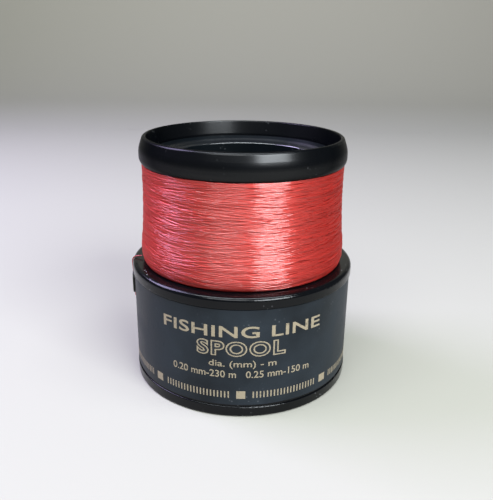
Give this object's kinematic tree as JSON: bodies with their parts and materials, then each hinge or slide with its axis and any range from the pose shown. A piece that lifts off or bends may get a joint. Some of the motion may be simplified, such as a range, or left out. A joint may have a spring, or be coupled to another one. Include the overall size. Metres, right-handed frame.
{
  "type": "fishing line spool",
  "caption": "Spare spool of a spinning reel, wound with line: drum, front lip, long skirt with a sprung line clip, and a drag washer stack and ball bearing in the hub.",
  "frame": {"origin": "centre of the skirt's open end, on the spool's axis, where it rests on a table", "axes": "+Z along the spool's axis towards the front lip, -Y towards the middle of the printed label, -X towards the line clip"},
  "size_m": [0.0534, 0.0532, 0.0583],
  "materials": {
    "gloss_black": "black, polished beads and satin inside",
    "cast_black": "black paint on a casting",
    "lip_black": "semi-gloss black, small chips",
    "ring_grey": "dark grey, semi-gloss",
    "label_foil": "dark slate with pale gold print, satin",
    "red_line": "clear red monofilament",
    "clip_plastic": "black",
    "spring_steel": "bright spring steel",
    "bearing_steel": "ground and polished",
    "cage_brass": "pressed brass",
    "felt": "greased wool felt",
    "washer_steel": "stamped stainless steel",
    "ratchet_plastic": "natural acetal",
    "screw_steel": "nickel plated"
  },
  "bodies": {
    "spool": {"skirt": "gloss_black", "drum": "cast_black", "front_lip_ring": "lip_black", "lip_retaining_ring": "ring_grey", "label_band": "label_foil", "line_pack": "red_line", "line_tag_end": "red_line", "line_clip_spring": "spring_steel", "bearing_outer_race": "bearing_steel", "bearing_shields": "washer_steel", "eared_washer": "washer_steel", "washer_retaining_ring": "spring_steel", "click_ratchet": "ratchet_plastic", "ratchet_screws": "screw_steel", "skirt_screws": "screw_steel"},
    "clip": {"line_clip": "clip_plastic", "line_clip_push_washer": "spring_steel"},
    "pressure_plate": {"pressure_washer": "washer_steel"},
    "keyed_plate": {"keyed_washer": "washer_steel"},
    "inner_race": {"bearing_inner_race": "bearing_steel"},
    "ball_set": {"bearing_balls": "bearing_steel", "bearing_cage": "cage_brass"},
    "rear_felt": {"rear_felt_washer": "felt"},
    "middle_felt": {"middle_felt_washer": "felt"},
    "front_felt": {"front_felt_washer": "felt"}
  },
  "joints": [
    {"name": "line_clip_lift", "type": "slide", "parent": "spool", "child": "clip", "axis": [-0.9991, -0.0419, 0], "range_m": [0, 0.0005], "stiffness_N_per_m": 2000, "springref_m": -0.0004, "deforming": ["line_clip_spring"]},
    {"name": "pressure_washer_spin", "type": "hinge", "parent": "spool", "child": "pressure_plate", "pos_m": [0, 0, 0.0446], "axis": [0, 0, 1], "continuous": true},
    {"name": "keyed_washer_spin", "type": "hinge", "parent": "spool", "child": "keyed_plate", "pos_m": [0, 0, 0.03988], "axis": [0, 0, 1], "continuous": true},
    {"name": "inner_race_spin", "type": "hinge", "parent": "spool", "child": "inner_race", "pos_m": [0, 0, 0.03588], "axis": [0, 0, 1], "continuous": true},
    {"name": "ball_set_spin", "type": "hinge", "parent": "spool", "child": "ball_set", "pos_m": [0, 0, 0.03588], "axis": [0, 0, 1], "continuous": true},
    {"name": "rear_felt_spin", "type": "hinge", "parent": "spool", "child": "rear_felt", "pos_m": [0, 0, 0.03898], "axis": [0, 0, 1], "continuous": true},
    {"name": "middle_felt_spin", "type": "hinge", "parent": "spool", "child": "middle_felt", "pos_m": [0, 0, 0.04078], "axis": [0, 0, 1], "continuous": true},
    {"name": "front_felt_spin", "type": "hinge", "parent": "spool", "child": "front_felt", "pos_m": [0, 0, 0.04258], "axis": [0, 0, 1], "continuous": true}
  ],
  "couplings": [
    {"joint": "keyed_washer_spin", "follows": "pressure_washer_spin", "ratio": 1},
    {"joint": "inner_race_spin", "follows": "pressure_washer_spin", "ratio": 1},
    {"joint": "ball_set_spin", "follows": "pressure_washer_spin", "ratio": 0.4333}
  ]
}
